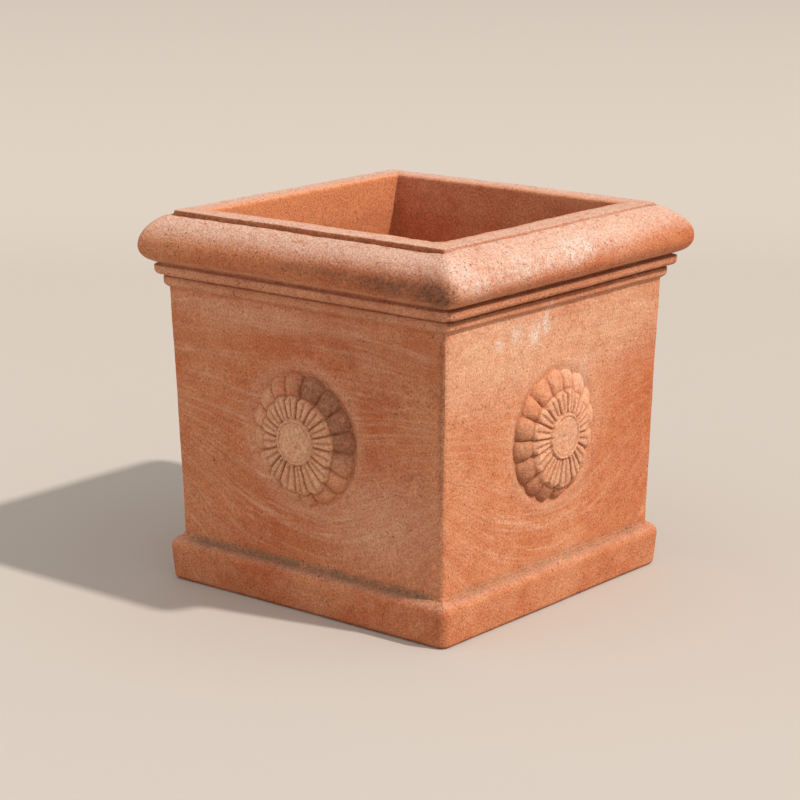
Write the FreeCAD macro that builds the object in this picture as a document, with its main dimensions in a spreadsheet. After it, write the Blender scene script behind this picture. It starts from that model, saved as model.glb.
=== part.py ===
"""Square terracotta planter: slab walls on a floor slab, mitred mouldings and four pressed rosettes.

Sizes are in millimetres. The origin is the middle of the underside, +Z is up and the front is -Y.
"""
import FreeCAD
import Part
import Sketcher
import os

# Driving sizes: name, value, meaning
SIZES = [
    ("plinth_height", 49, "ground to the top of the plinth"),
    ("wall_height", 287, "plain wall between plinth and cornice"),
    ("cornice_height", 26, "two fillets under the rim"),
    ("roll_height", 52, "rim from its bed to the foot of the lip"),
    ("lip_height", 5, "raised lip round the mouth"),
    ("floor_thickness", 28, "floor slab"),
    ("drain_diameter", 30, "drain hole in the floor"),
    ("wall_foot_width", 373, "across the walls at the top of the plinth"),
    ("wall_top_width", 388.5, "across the walls at the foot of the cornice"),
    ("wall_thickness", 30, "wall slabs"),
    ("wall_corner", 6, "outside corner radius of the walls"),
    ("cavity_corner", 15, "inside corner radius of the walls and rim"),
    ("plinth_projection", 12, "plinth beyond the wall at its widest"),
    ("plinth_batter", 3, "plinth drawn in towards its foot"),
    ("plinth_toe", 2.5, "eased lower edge of the plinth"),
    ("plinth_shoulder", 11, "radius of the plinth's rounded shoulder"),
    ("plinth_corner", 14, "plan corner radius of the plinth"),
    ("lower_fillet_height", 10, "lower fillet of the cornice"),
    ("lower_fillet_projection", 6.2, "lower fillet beyond the wall"),
    ("upper_fillet_projection", 12.5, "upper fillet beyond the wall"),
    ("fillet_lean", 2.8, "each fillet draws in this much towards its lower edge"),
    ("fillet_quirk", 2.5, "height of the slanted underside of each fillet"),
    ("fillet_foot", 1.2, "cornice beyond the wall at its lowest edge"),
    ("roll_projection", 29, "nose of the rim roll beyond the wall"),
    ("roll_upper_radius", 26, "section radius of the roll above its nose"),
    ("roll_lower_radius", 20, "section radius of the roll below its nose"),
    ("roll_nose_height", 19, "nose of the roll above its bed"),
    ("rim_corner", 14, "plan corner radius of the roll and the lip"),
    ("lip_width", 30.5, "lip across its foot"),
    ("lip_ease", 3, "eased edges of the lip"),
    ("mouth_width", 318, "clear opening inside the lip"),
    ("mouth_draft", 1.5, "inside of the rim widens this much below the lip"),
    ("petal_count", 16, "petals in each ring of a rosette"),
    ("petal_start", 20, "rosette's centre to the start of a petal"),
    ("outer_half_width", 17.7, "half-width of an outer petal's underside"),
    ("outer_crown", 14.9, "outer petal's ridge above its underside"),
    ("outer_start_height", -3.2, "outer petal's underside at its start, above the wall"),
    ("outer_dip_reach", 30, "rosette's centre to where the outer petal starts to dip"),
    ("outer_turn_reach", 59.3, "rosette's centre to the bend at the outer petal's end"),
    ("outer_turn_height", -6, "underside at that bend, above the wall"),
    ("outer_tip_reach", 75.2, "rosette's centre to the outer petal's buried tip"),
    ("outer_tip_height", -31.5, "underside at the buried tip, above the wall"),
    ("inner_half_width", 14, "half-width of an inner petal's underside"),
    ("inner_top_half_width", 4.5, "half-width of an inner petal's flat top"),
    ("inner_crown", 9.1, "inner petal's top above its underside"),
    ("inner_height", 5, "inner petal's underside above the wall"),
    ("inner_turn_reach", 36.3, "rosette's centre to the bend at the inner petal's end"),
    ("inner_tip_reach", 48.9, "rosette's centre to the inner petal's buried tip"),
    ("inner_tip_height", -13, "underside at the buried tip, above the wall"),
    ("boss_radius", 24, "middle disc of the rosette"),
    ("boss_height", 16, "middle disc above the wall"),
]

# The four sides and how far each is turned from the front
SIDES = {"front": 0, "right": 90, "back": 180, "left": 270}

# Angles at which the arcs of the rim roll end above and below its nose, and the strips along an arc
ROLL_UPPER_TURN = 68
ROLL_LOWER_TURN = 66
ARC_STRIPS = 4

# Heights of the main joints
CORNICE_BASE = "(sizes.plinth_height + sizes.wall_height)"
RIM_BASE = f"({CORNICE_BASE} + sizes.cornice_height)"
LIP_BASE = f"({RIM_BASE} + sizes.roll_height)"
TOP = f"({LIP_BASE} + sizes.lip_height)"
ROSETTE_HEIGHT = "(sizes.plinth_height + sizes.wall_height / 2)"

# Half-widths and slopes that several pieces share
WALL_LEAN = "((sizes.wall_top_width - sizes.wall_foot_width) / 2 / sizes.wall_height)"
WALL_TOP_HALF = "(sizes.wall_top_width / 2)"
ROLL_HALF = f"({WALL_TOP_HALF} + sizes.roll_projection)"
MOUTH_HALF = "(sizes.mouth_width / 2)"
LIP_HALF = f"({MOUTH_HALF} + sizes.lip_width)"


def wall_half(height):
    """Half-width across the leaning walls at a height."""
    return f"(sizes.wall_foot_width / 2 + {WALL_LEAN} * ({height} - sizes.plinth_height))"


def make_sheet(doc):
    """Put the driving sizes into a sheet, one named cell each."""
    sheet = doc.addObject("Spreadsheet::Sheet", "sizes")
    for row, (name, value, meaning) in enumerate(SIZES, start=1):
        sheet.set(f"A{row}", meaning)
        sheet.set(f"B{row}", str(value))
        sheet.setAlias(f"B{row}", name)
    doc.recompute()


def origin_part(body, role):
    """One of a body's own origin planes or axes."""
    return next(item for item in body.Origin.OriginFeatures if item.Role == role)


def new_sketch(body, name, role="XY_Plane", height="0"):
    """A sketch on one of its body's origin planes, lifted to a height."""
    sketch = body.newObject("Sketcher::SketchObject", name)
    sketch.AttachmentSupport = (origin_part(body, role), "")
    sketch.MapMode = "FlatFace"
    sketch.setExpression("AttachmentOffset.Base.z", height)
    return sketch


def drive(sketch, name, constraint, expression):
    """Add a named size to a sketch and bind it to the sheet."""
    index = sketch.addConstraint(constraint)
    sketch.renameConstraint(index, name)
    sketch.setExpression(f"Constraints.{name}", expression)


def outline(sketch, corners, closed=True):
    """Outline through corners given as (x, y), counter-clockwise where it closes.

    A corner given as (x, y, radius) starts an outward arc of that radius to the next corner.
    """
    def value(expression):
        return float(sketch.Document.sizes.evalExpression(expression))

    points = [FreeCAD.Vector(value(corner[0]), value(corner[1]), 0) for corner in corners]
    stretches = len(corners) if closed else len(corners) - 1
    for index in range(stretches):
        start = points[index]
        chord = points[(index + 1) % len(points)] - start
        if len(corners[index]) == 2:
            sketch.addGeometry(Part.LineSegment(start, start + chord), False)
            continue
        radius = value(corners[index][2])
        rise = radius - (radius ** 2 - (chord.Length / 2) ** 2) ** 0.5
        outward = FreeCAD.Vector(chord.y, -chord.x, 0).normalize()
        sketch.addGeometry(Part.Arc(start, start + chord / 2 + outward * rise, start + chord), False)
    for index, corner in enumerate(corners):
        before = (index - 1) % len(corners)
        if before < stretches and index < stretches:
            sketch.addConstraint(Sketcher.Constraint("Coincident", before, 2, index, 1))
        place = (index, 1) if index < stretches else (before, 2)
        for axis, expression in zip("XY", corner):
            size = Sketcher.Constraint(f"Distance{axis}", -1, 1, *place, value(expression))
            drive(sketch, f"corner_{index}_{axis}", size, expression)
        if len(corner) == 3:
            size = Sketcher.Constraint("Radius", index, value(corner[2]))
            drive(sketch, f"arc_{index}", size, corner[2])


def circle(sketch, diameter):
    """Circle of a diameter round the origin of a sketch."""
    sketch.addGeometry(Part.Circle(), False)
    sketch.addConstraint(Sketcher.Constraint("Coincident", 0, 3, -1, 1))
    drive(sketch, "across", Sketcher.Constraint("Diameter", 0, 1), diameter)


def square(half):
    """Corners of a square of a half-width, counter-clockwise."""
    return [(f"-{half}", f"-{half}"), (half, f"-{half}"), (half, half), (f"-{half}", half)]


def rounded_square(sketch, half, corner):
    """Outline of a square of a half-width with rounded corners."""
    flat = f"({half} - {corner})"
    outline(sketch, [
        (f"-{flat}", f"-{half}"), (flat, f"-{half}", corner),
        (half, f"-{flat}"), (half, flat, corner),
        (flat, half), (f"-{flat}", half, corner),
        (f"-{half}", flat), (f"-{half}", f"-{flat}", corner)])


def loft(body, name, stations, kind="Additive"):
    """Straight-sided loft through rounded squares, each a height, half-width and corner radius."""
    sketches = []
    for step, (height, half, corner) in enumerate(stations):
        sketch = new_sketch(body, f"{name}_{step}", height=height)
        rounded_square(sketch, half, corner)
        sketches.append(sketch)
    feature = body.newObject(f"PartDesign::{kind}Loft", name)
    feature.Profile = sketches[0]
    feature.Sections = sketches[1:]
    feature.Ruled = True


def leaning_loft(body, name, low, high, inset, corner, kind="Additive"):
    """Loft between two heights whose sides lean with the walls, set in from their faces."""
    stations = [(height, f"({wall_half(height)} - {inset})", corner) for height in (low, high)]
    loft(body, name, stations, kind)


def arc_stations(height, half, radius, turns, corner):
    """Loft stations along an arc about a centre, at turns in degrees above the level."""
    return [(f"{height} + {radius} * sin({turn})", f"({half} + {radius} * cos({turn}))", corner)
            for turn in turns]


def turns_between(first, last):
    """Evenly spaced turns from the first to the last, in degrees."""
    return [first + (last - first) * step / ARC_STRIPS for step in range(ARC_STRIPS + 1)]


def floor_slab(doc):
    """Floor slab that the walls stand on, with the drain hole through its middle."""
    body = doc.addObject("PartDesign::Body", "floor_slab")
    leaning_loft(body, "slab", "0", "sizes.floor_thickness", "0", "sizes.wall_corner")
    doc.recompute()
    sketch = new_sketch(body, "drain_plan")
    circle(sketch, "sizes.drain_diameter")
    drain = body.newObject("PartDesign::Pocket", "drain")
    drain.Profile = sketch
    drain.Type = "ThroughAll"
    drain.Reversed = True
    return body


def wall_ring(doc):
    """The four leaning walls in one, from the floor slab to the bed of the rim."""
    body = doc.addObject("PartDesign::Body", "wall_ring")
    ends = ("sizes.floor_thickness", RIM_BASE)
    leaning_loft(body, "slabs", *ends, "0", "sizes.wall_corner")
    leaning_loft(body, "cavity", *ends, "sizes.wall_thickness", "sizes.cavity_corner", "Subtractive")
    return body


def plinth_ring(doc):
    """Plinth round the foot of the walls: eased toe, battered face and rounded shoulder."""
    body = doc.addObject("PartDesign::Body", "plinth_ring")
    widest = f"({wall_half('sizes.plinth_height')} + sizes.plinth_projection)"
    foot = f"({widest} - sizes.plinth_batter)"
    shoulder = arc_stations(
        "sizes.plinth_height - sizes.plinth_shoulder", f"({widest} - sizes.plinth_shoulder)",
        "sizes.plinth_shoulder", turns_between(0, 90), "sizes.plinth_corner")
    loft(body, "band", [
        ("0", f"({foot} - sizes.plinth_toe)", "sizes.plinth_corner"),
        ("sizes.plinth_toe", foot, "sizes.plinth_corner"), *shoulder[:-1],
        ("sizes.plinth_height", f"({widest} - sizes.plinth_shoulder)", "sizes.wall_corner")])
    leaning_loft(body, "seat", "0", "sizes.plinth_height", "0", "sizes.wall_corner", "Subtractive")
    return body


def fillet_station(height, projection):
    """Loft station of the cornice: its corners open with its projection beyond the wall."""
    return (height, f"({WALL_TOP_HALF} + {projection})", f"(sizes.wall_corner + ({projection}) / 2)")


def cornice_ring(doc):
    """Two leaning fillets round the head of the walls, each with a slanted quirk below it."""
    body = doc.addObject("PartDesign::Body", "cornice_ring")
    step = f"{CORNICE_BASE} + sizes.lower_fillet_height"
    loft(body, "fillets", [
        fillet_station(CORNICE_BASE, "sizes.fillet_foot"),
        fillet_station(f"{CORNICE_BASE} + sizes.fillet_quirk",
                       "sizes.lower_fillet_projection - sizes.fillet_lean"),
        fillet_station(step, "sizes.lower_fillet_projection"),
        fillet_station(f"{step} + sizes.fillet_quirk", "sizes.upper_fillet_projection - sizes.fillet_lean"),
        fillet_station(RIM_BASE, "sizes.upper_fillet_projection")])
    leaning_loft(body, "seat", CORNICE_BASE, RIM_BASE, "0", "sizes.wall_corner", "Subtractive")
    return body


def rim_ring(doc):
    """Rim: a bold roll that turns into a slope, with a raised lip round the mouth."""
    body = doc.addObject("PartDesign::Body", "rim_ring")
    nose = f"{RIM_BASE} + sizes.roll_nose_height"
    lower, upper = "sizes.roll_lower_radius", "sizes.roll_upper_radius"
    below = arc_stations(nose, f"{ROLL_HALF} - {lower}", lower,
                         turns_between(-ROLL_LOWER_TURN, 0), "sizes.rim_corner")
    above = arc_stations(nose, f"{ROLL_HALF} - {upper}", upper,
                         turns_between(0, ROLL_UPPER_TURN), "sizes.rim_corner")
    loft(body, "roll", [
        fillet_station(RIM_BASE, "sizes.upper_fillet_projection"), *below, *above[1:],
        (LIP_BASE, LIP_HALF, "sizes.rim_corner"),
        (TOP, f"({LIP_HALF} - sizes.lip_ease)", "sizes.rim_corner")])
    loft(body, "mouth", [
        (RIM_BASE, f"({MOUTH_HALF} + sizes.mouth_draft)", "sizes.cavity_corner"),
        (f"{TOP} - sizes.lip_ease", MOUTH_HALF, "sizes.cavity_corner"),
        (TOP, f"({MOUTH_HALF} + sizes.lip_ease)", "sizes.cavity_corner")], "Subtractive")
    return body


def mitre_wedge(doc, side, turn):
    """Wedge between the two upright mitre planes of a side."""
    wedge = doc.addObject("Part::Wedge", f"{side}_wedge")
    reach = f"2 * {ROLL_HALF}"
    bounds = {
        "Xmin": f"-{reach}", "Xmax": reach, "X2min": "0", "X2max": "0",
        "Ymin": f"-{reach}", "Ymax": "0",
        "Zmin": f"-{TOP}", "Zmax": f"2 * {TOP}", "Z2min": f"-{TOP}", "Z2max": f"2 * {TOP}"}
    for name, expression in bounds.items():
        wedge.setExpression(name, expression)
    wedge.Placement.Rotation = FreeCAD.Rotation(FreeCAD.Vector(0, 0, 1), turn)
    return wedge


def mitred_side(doc, name, ring, wedge):
    """One side of a ring, cut at its two mitres."""
    piece = doc.addObject("Part::Common", name)
    piece.Base = ring
    piece.Tool = wedge
    return piece


def petal_ring(body, name, section, path):
    """Ring of petals: a section swept out along a bent path and repeated round the middle."""
    section_sketch = new_sketch(body, f"{name}_section", "YZ_Plane", "sizes.petal_start")
    outline(section_sketch, section)
    path_sketch = new_sketch(body, f"{name}_path", "XZ_Plane")
    outline(path_sketch, path, closed=False)
    petal = body.newObject("PartDesign::AdditivePipe", f"{name}_petal")
    petal.Profile = section_sketch
    petal.Spine = (path_sketch, [])
    petal.Transition = "Right corner"
    ring = body.newObject("PartDesign::PolarPattern", f"{name}_ring")
    ring.Originals = [petal]
    ring.Axis = (origin_part(body, "Z_Axis"), [""])
    ring.Angle = 360
    ring.setExpression("Occurrences", "sizes.petal_count")
    body.Tip = ring


def outer_petals(body):
    """Outer ring: round-topped petals that dip a little from the disc, then bend into the wall."""
    half_width, crown, base = "sizes.outer_half_width", "sizes.outer_crown", "sizes.outer_start_height"
    radius = f"({half_width} ^ 2 + {crown} ^ 2) / 2 / {crown}"
    petal_ring(body, "outer", [(f"-{half_width}", base), (half_width, base, radius)], [
        ("sizes.petal_start", base), ("sizes.outer_dip_reach", base),
        ("sizes.outer_turn_reach", "sizes.outer_turn_height"),
        ("sizes.outer_tip_reach", "sizes.outer_tip_height")])


def inner_petals(body):
    """Inner ring: level, flat-topped petals whose ends step down onto the outer ring."""
    base, top = "sizes.inner_height", "sizes.inner_height + sizes.inner_crown"
    half_width, top_half_width = "sizes.inner_half_width", "sizes.inner_top_half_width"
    petal_ring(body, "inner", [
        (f"-{half_width}", base), (half_width, base), (top_half_width, top), (f"-{top_half_width}", top)], [
        ("sizes.petal_start", base), ("sizes.inner_turn_reach", base),
        ("sizes.inner_tip_reach", "sizes.inner_tip_height")])


def boss(body):
    """Middle disc of the rosette."""
    sketch = new_sketch(body, "boss_plan")
    circle(sketch, "2 * sizes.boss_radius")
    disc = body.newObject("PartDesign::Pad", "boss")
    disc.Profile = sketch
    disc.setExpression("Length", "sizes.boss_height")


def rosette(doc, side, turn):
    """Pressed rosette on the middle of a wall: two rings of petals round a disc, with a flat back."""
    body = doc.addObject("PartDesign::Body", f"{side}_rosette")
    boss(body)
    outer_petals(body)
    inner_petals(body)
    doc.recompute()
    back = new_sketch(body, "back_plan")
    outline(back, square("(2 * sizes.outer_tip_reach)"))
    trim = body.newObject("PartDesign::Pocket", "back")
    trim.Profile = back
    trim.Type = "ThroughAll"
    body.Tip = trim
    out = wall_half(ROSETTE_HEIGHT)
    place = f"vector({out} * sin({turn}); -{out} * cos({turn}); {ROSETTE_HEIGHT})"
    body.setExpression("Placement", f"placement({place}; rotation({turn}; 0; 90 deg + atan({WALL_LEAN})))")
    return body


def check(doc, pieces):
    """Stop if any object failed or any piece isn't one sound solid."""
    failed = [item.Label for item in doc.Objects if {"Invalid", "Error"} & set(item.State)]
    if failed:
        raise RuntimeError(f"failed objects: {failed}")
    for piece in pieces:
        shape = piece.Shape
        if shape.isNull() or not shape.isValid() or len(shape.Solids) != 1:
            raise RuntimeError(f"{piece.Label} isn't one sound solid")


def main():
    doc = FreeCAD.newDocument("planter")
    make_sheet(doc)
    wedges = {side: mitre_wedge(doc, side, turn) for side, turn in SIDES.items()}
    rings = {"wall": wall_ring(doc), "plinth": plinth_ring(doc),
             "cornice": cornice_ring(doc), "rim": rim_ring(doc)}
    pieces = [floor_slab(doc)]
    for name, ring in rings.items():
        pieces += [mitred_side(doc, f"{side}_{name}", ring, wedge) for side, wedge in wedges.items()]
    pieces += [rosette(doc, side, turn) for side, turn in SIDES.items()]
    doc.recompute()
    check(doc, pieces)
    os.makedirs("parts", exist_ok=True)
    for piece in pieces:
        piece.Shape.exportStep(f"parts/{piece.Label}.step")


main()
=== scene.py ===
"""Looks of a square terracotta planter, laid out as an add-on and run as a script.

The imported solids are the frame. Each group of clay pieces gets an operator that builds its fired surface:
floor, walls, plinth, cornice, rim and rosettes, all in one hand-pressed terracotta.
"""
import math

import bpy
import numpy as np
from mathutils import Matrix, Vector, noise


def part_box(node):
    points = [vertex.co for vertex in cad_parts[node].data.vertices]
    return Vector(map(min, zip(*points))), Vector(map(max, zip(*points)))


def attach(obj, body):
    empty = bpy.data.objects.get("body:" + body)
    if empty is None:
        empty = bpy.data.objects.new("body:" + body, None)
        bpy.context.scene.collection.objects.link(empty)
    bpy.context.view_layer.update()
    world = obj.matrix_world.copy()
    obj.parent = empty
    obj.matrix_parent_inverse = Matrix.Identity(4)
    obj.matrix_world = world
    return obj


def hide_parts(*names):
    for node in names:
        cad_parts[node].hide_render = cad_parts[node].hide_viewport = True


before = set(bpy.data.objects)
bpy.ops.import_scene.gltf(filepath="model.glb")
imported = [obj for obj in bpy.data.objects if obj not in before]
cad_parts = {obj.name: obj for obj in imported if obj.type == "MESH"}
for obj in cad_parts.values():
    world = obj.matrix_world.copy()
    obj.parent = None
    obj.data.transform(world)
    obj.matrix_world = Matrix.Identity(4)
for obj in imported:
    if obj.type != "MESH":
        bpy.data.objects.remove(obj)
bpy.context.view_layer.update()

bl_info = {
    "name": "Square Terracotta Planter",
    "version": (1, 0, 0),
    "blender": (4, 5, 0),
    "location": "3D View > Sidebar > Planter",
    "description": "Builds the fired clay surfaces of a square planter round its packed solids",
    "category": "Object",
}

MM = 0.001
CLAY = "hand-pressed terracotta"

# The sides in turn, anticlockwise from above; a side's own frame has x along it and -y outward
SIDES = ("front", "right", "back", "left")

# Heights and half-widths that the frame gives
PLINTH_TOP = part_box("front_plinth")[1].z
CORNICE_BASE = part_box("front_cornice")[0].z
RIM_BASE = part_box("front_rim")[0].z
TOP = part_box("front_rim")[1].z
FLOOR_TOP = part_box("floor_slab")[1].z
WALL_FOOT_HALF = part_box("floor_slab")[1].x
WALL_HEAD_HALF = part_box("right_wall")[1].x
PLINTH_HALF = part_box("right_plinth")[1].x
CORNICE_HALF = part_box("right_cornice")[1].x
ROLL_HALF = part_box("right_rim")[1].x
ROSETTE_RADIUS = (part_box("front_rosette")[1].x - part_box("front_rosette")[0].x) / 2
ROSETTE_Z = (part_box("front_rosette")[1].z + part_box("front_rosette")[0].z) / 2
WALL_LEAN = (WALL_HEAD_HALF - WALL_FOOT_HALF) / (RIM_BASE - FLOOR_TOP)

# Sampling: the even step of an outline before thinning, the turn that one strip may take, the columns on
# each half of a corner, and the coarser pitch of the floor slab, which is mostly hidden
FINE_STEP = 0.4 * MM
STRIP_TURN = math.radians(14)
CORNER_COLUMNS = 6
FLOOR_PITCH = 8 * MM

# Inside plan radius in millimetres at each side's first mitre: hands rounded some corners more than others
CAVITY_CORNERS = (4, 14, 4, 3.5)

# How many times its plan radius each outside corner of wall, cornice and roll takes, in the same order
ROUNDED = (2.0, 1.4, 1.1, 1.2)

# How far a moulding's hidden back reaches into the wall it is pressed on
BEDDING = 4 * MM

# Breadth of the slow lumps and of the finger-sized dimples, and the height over which they come up
LUMP_BREADTH = 55 * MM
DIMPLE_BREADTH = 8 * MM
FLAT_BED = 6 * MM

# Warp of drying: its breadth, a place in the noise for each axis, and the height over which it comes up
WARP_BREADTH = 210 * MM
WARP_PLACES = (0.0, 3.7, 7.9)
FLAT_FOOT = 40 * MM

# Wiping strokes: how they sag low on a wall and arch high on it, per metre, and the heights between which
# the one turns into the other; their breadth and stretch, and the shift that makes a side's strokes its own
SAG, ARCH = 2.8, 0.25
SAG_BELOW, ARCH_ABOVE = 110 * MM, 290 * MM
STROKE_BREADTH = 6 * MM
STROKE_STRETCH = 16
STROKE_SHIFT = 0.31

# Ridge and dip that pressing a rosette left in the wall round it: height or depth, radius and spread
PUSHED_UP = (0.9 * MM, 80 * MM, 7 * MM)
DRAWN_DOWN = (1.1 * MM, 68 * MM, 6 * MM)

# How far behind a wall's outside face a point still counts as part of that face
FACE_DEPTH = 8 * MM

# Clay beside the lip: how far from a corner one side's fill turns into the next side's, where it is deepest
# and its spread, and the depths below the top between which it lies
FILL_TURN = 25 * MM
FILL_MIDDLE, FILL_SPREAD = 2 * MM, 6 * MM
FILL_FROM, FILL_TO = 2 * MM, 12 * MM

# Ragged wear of the lip: its height and breadth, and how far down it goes
LIP_WEAR, LIP_WEAR_BREADTH, LIP_WEAR_REACH = 0.45 * MM, 9 * MM, 9 * MM


def linear(code):
    """An sRGB hex code such as #C08060 as linear red, green, blue and alpha."""
    parts = [int(code[place:place + 2], 16) / 255 for place in (1, 3, 5)]
    return tuple(p / 12.92 if p <= 0.04045 else ((p + 0.055) / 1.055) ** 2.4 for p in parts) + (1.0,)


def length(title, words, value):
    """A length that a user may change, in metres."""
    return bpy.props.FloatProperty(name=title, description=words, default=value, min=0, unit="LENGTH")


def tint(title, words, code):
    """A colour that a user may change, given as an sRGB hex code."""
    return bpy.props.FloatVectorProperty(
        name=title, description=words, default=linear(code), size=4, min=0, max=1, subtype="COLOR")


class PlanterSizes(bpy.types.PropertyGroup):
    """Sizes of the clay surfaces."""
    pitch: length("Mesh pitch", "Greatest step between points of the surface", 3 * MM)
    wear: length("Worn arris", "Spread of the wear that rounds an arris", 1.1 * MM)
    lump: length("Lumps", "Height of the slow lumps of hand pressing", 0.55 * MM)
    dimple: length("Dimples", "Height of the finger-sized unevenness", 0.16 * MM)
    stroke: length("Wipe strokes", "Depth of the strokes left by wiping the walls", 0.16 * MM)
    warp: length("Warp", "How far drying bent the whole planter", 1.2 * MM)
    wall_thickness: length("Wall thickness", "Thickness of the wall slabs", 30 * MM)
    wall_corner: length("Wall corner", "Outside plan radius of the walls", 4.5 * MM)
    plinth_corner: length("Plinth corner", "Plan radius of the plinth at its widest", 12 * MM)
    plinth_shoulder: length("Plinth shoulder", "Section radius of the plinth's shoulder", 11 * MM)
    plinth_batter: length("Plinth batter", "How far the plinth draws in towards its foot", 3 * MM)
    plinth_toe: length("Plinth toe", "Eased lower edge of the plinth", 3.5 * MM)
    cornice_corner: length("Cornice corner", "Plan radius of the cornice at its widest", 9 * MM)
    roll_corner: length("Roll corner", "Plan radius of the rim at its nose", 12 * MM)
    lip_corner: length("Lip corner", "Plan radius of the lip outside", 3 * MM)
    roll_nose: length("Roll nose", "Nose of the roll above the bed of the rim", 19 * MM)
    roll_under: length("Roll underside", "Section radius of the roll below its nose", 17.5 * MM)
    lip_height: length("Lip height", "Raised lip above the slope of the rim", 5 * MM)
    lip_width: length("Lip width", "Lip across its foot", 30.5 * MM)
    lip_arris: length("Lip arris", "Section radius of the lip's inner edge", 4 * MM)
    mouth_width: length("Mouth width", "Clear opening inside the lip", 318 * MM)
    drain_width: length("Drain hole", "Diameter of the drain hole", 30 * MM)


class PlanterColours(bpy.types.PropertyGroup):
    """Colours of the fired clay and of what weather left on it."""
    clay: tint("Clay", "Fired clay in the main", "#D48E66")
    clay_deep: tint("Deep clay", "Redder, harder-fired clay", "#C26E47")
    slip: tint("Pale slip", "Pale film that wiping and wear draw to the surface", "#E8B898")
    film: tint("Bloom", "Thin pinkish bloom on slopes that rain reaches", "#DAB3A0")
    rubbed: tint("Rubbed clay", "Bare orange clay where hands and rain rub it", "#C87850")
    # Painted light: a brighter orange on the inner faces, full on the left wall's inside that the sun lights
    # and none on the back's, which lies in shade
    inside_light: tint("Fresh clay", "Unweathered clay inside the planter", "#E08E5E")
    # Painted shade: a dark tone laid in grooves, quirks, seams, beside the lip and round the rosettes, where
    # shade falls
    painted_shade_tone: tint("Hollows", "Darker clay that stays in grooves", "#8A5236")
    pore: tint("Pores", "Shade inside the pores", "#5A3322")
    salts: tint("Salts", "Whitish bloom of salts", "#E8D6CA")
    # This colour also lays painted shade on outer rosette petals that face away from the light
    soot: tint("Weathering", "Grey-brown stain on worn corners", "#6A4D3E")
    grime: tint("Grime", "Grey-brown deposit where water stands", "#876850")


def sizes():
    """The sizes of the scene being built."""
    return bpy.context.scene.planter_sizes


def smoothstep(low, high, value):
    """Smooth rise from 0 at low to 1 at high."""
    t = np.clip((value - low) / (high - low), 0, 1)
    return t * t * (3 - 2 * t)


def bump_at(value, middle, spread):
    """A round bump of height 1 at a middle value."""
    return np.exp(-((value - middle) / spread) ** 2)


def wall_half(height):
    """Half-width across the leaning walls at a height."""
    return WALL_FOOT_HALF + WALL_LEAN * (height - FLOOR_TOP)


def arc(centre, radius, first, last, steps=16):
    """Points of an arc in a section, at turns in degrees above the level."""
    turns = np.radians(np.linspace(first, last, steps + 1))
    return [(centre[0] + radius * math.cos(t), centre[1] + radius * math.sin(t)) for t in turns]


def soften(corners, wear, pitch):
    """A closed section with its arrises worn round and few points on its straight stretches."""
    closed = np.array(list(corners) + [corners[0]])
    along = np.concatenate([[0], np.cumsum(np.linalg.norm(np.diff(closed, axis=0), axis=1))])
    count = int(along[-1] / FINE_STEP)
    even = np.linspace(0, along[-1], count, endpoint=False)
    dense = np.stack([np.interp(even, along, closed[:, k]) for k in (0, 1)], axis=1)
    for _ in range(int(2 * (wear / FINE_STEP) ** 2)):
        dense = (np.roll(dense, 1, axis=0) + 2 * dense + np.roll(dense, -1, axis=0)) / 4
    step = np.roll(dense, -1, axis=0) - dense
    heading = np.arctan2(step[:, 1], step[:, 0])
    turn = np.abs((heading - np.roll(heading, 1) + math.pi) % (2 * math.pi) - math.pi)
    weight = np.maximum(np.linalg.norm(step, axis=1) / pitch, turn / STRIP_TURN)
    reach = np.concatenate([[0], np.cumsum(weight)])
    kept = np.linspace(0, reach[-1], math.ceil(reach[-1]), endpoint=False)
    looped = np.vstack([dense, dense[:1]])
    return np.stack([np.interp(kept, reach, looped[:, k]) for k in (0, 1)], axis=1)


def side_columns(half, pitch):
    """Columns along one side from mitre to mitre: place on the flat, and sine and cosine on the corners."""
    flats = np.linspace(-1, 1, max(2, int(2 * half / pitch)))
    turns = np.radians(np.linspace(45, 0, CORNER_COLUMNS, endpoint=False))
    place = np.concatenate([-np.ones_like(turns), flats, np.ones_like(turns)])
    sine = np.concatenate([-np.sin(turns), np.zeros_like(flats), np.sin(turns[::-1])])
    return place, sine, np.sqrt(1 - sine ** 2)


def ring_side(section, corners, columns):
    """Points of one side of a square ring in the side's own frame, as rows of the section by columns.

    corners holds the plan radius of each row at the side's first and last mitre.
    """
    place, sine, cosine = columns
    half, height = section[:, :1], section[:, 1:]
    first, last = (corner[:, None] for corner in corners)
    corner = first + (last - first) * (place + 1) / 2
    x = place * (half - corner) + sine * corner
    y = corner * (1 - cosine) - half
    return np.stack([x, y, np.broadcast_to(height, x.shape)], axis=2)


def turned(points, side):
    """Points of a side's own frame turned to that side of the planter."""
    quarter = SIDES.index(side)
    cos, sin = (1, 0, -1, 0)[quarter], (0, 1, 0, -1)[quarter]
    x, y, z = points[..., 0], points[..., 1], points[..., 2]
    return np.stack([x * cos - y * sin, x * sin + y * cos, z], axis=-1)


def on_side(points, side):
    """Along a side, outward from the planter's middle, and up."""
    x, y, z = points[..., 0], points[..., 1], points[..., 2]
    along, out = {"front": (x, -y), "right": (y, x), "back": (-x, y), "left": (-y, -x)}[side]
    return along, out, z


def grid_normals(points):
    """Outward normals of a ring whose rows and columns both close."""
    along = np.roll(points, -1, axis=1) - np.roll(points, 1, axis=1)
    across = np.roll(points, -1, axis=0) - np.roll(points, 1, axis=0)
    normals = np.cross(along, across)
    return normals / np.maximum(np.linalg.norm(normals, axis=-1, keepdims=True), 1e-12)


def rough(points, grain, octaves=1):
    """Even noise of a grain size at points, about -1 to 1."""
    flat = points.reshape(-1, 3) / grain
    found = [noise.fractal(Vector(p), 1.0, 2.0, octaves) for p in flat]
    return np.array(found).reshape(points.shape[:-1])


def pressed(points):
    """How far hand pressing moved the surface at points, outward in metres."""
    size = sizes()
    return size.lump * rough(points, LUMP_BREADTH, 3) + size.dimple * rough(points, DIMPLE_BREADTH, 2)


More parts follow.
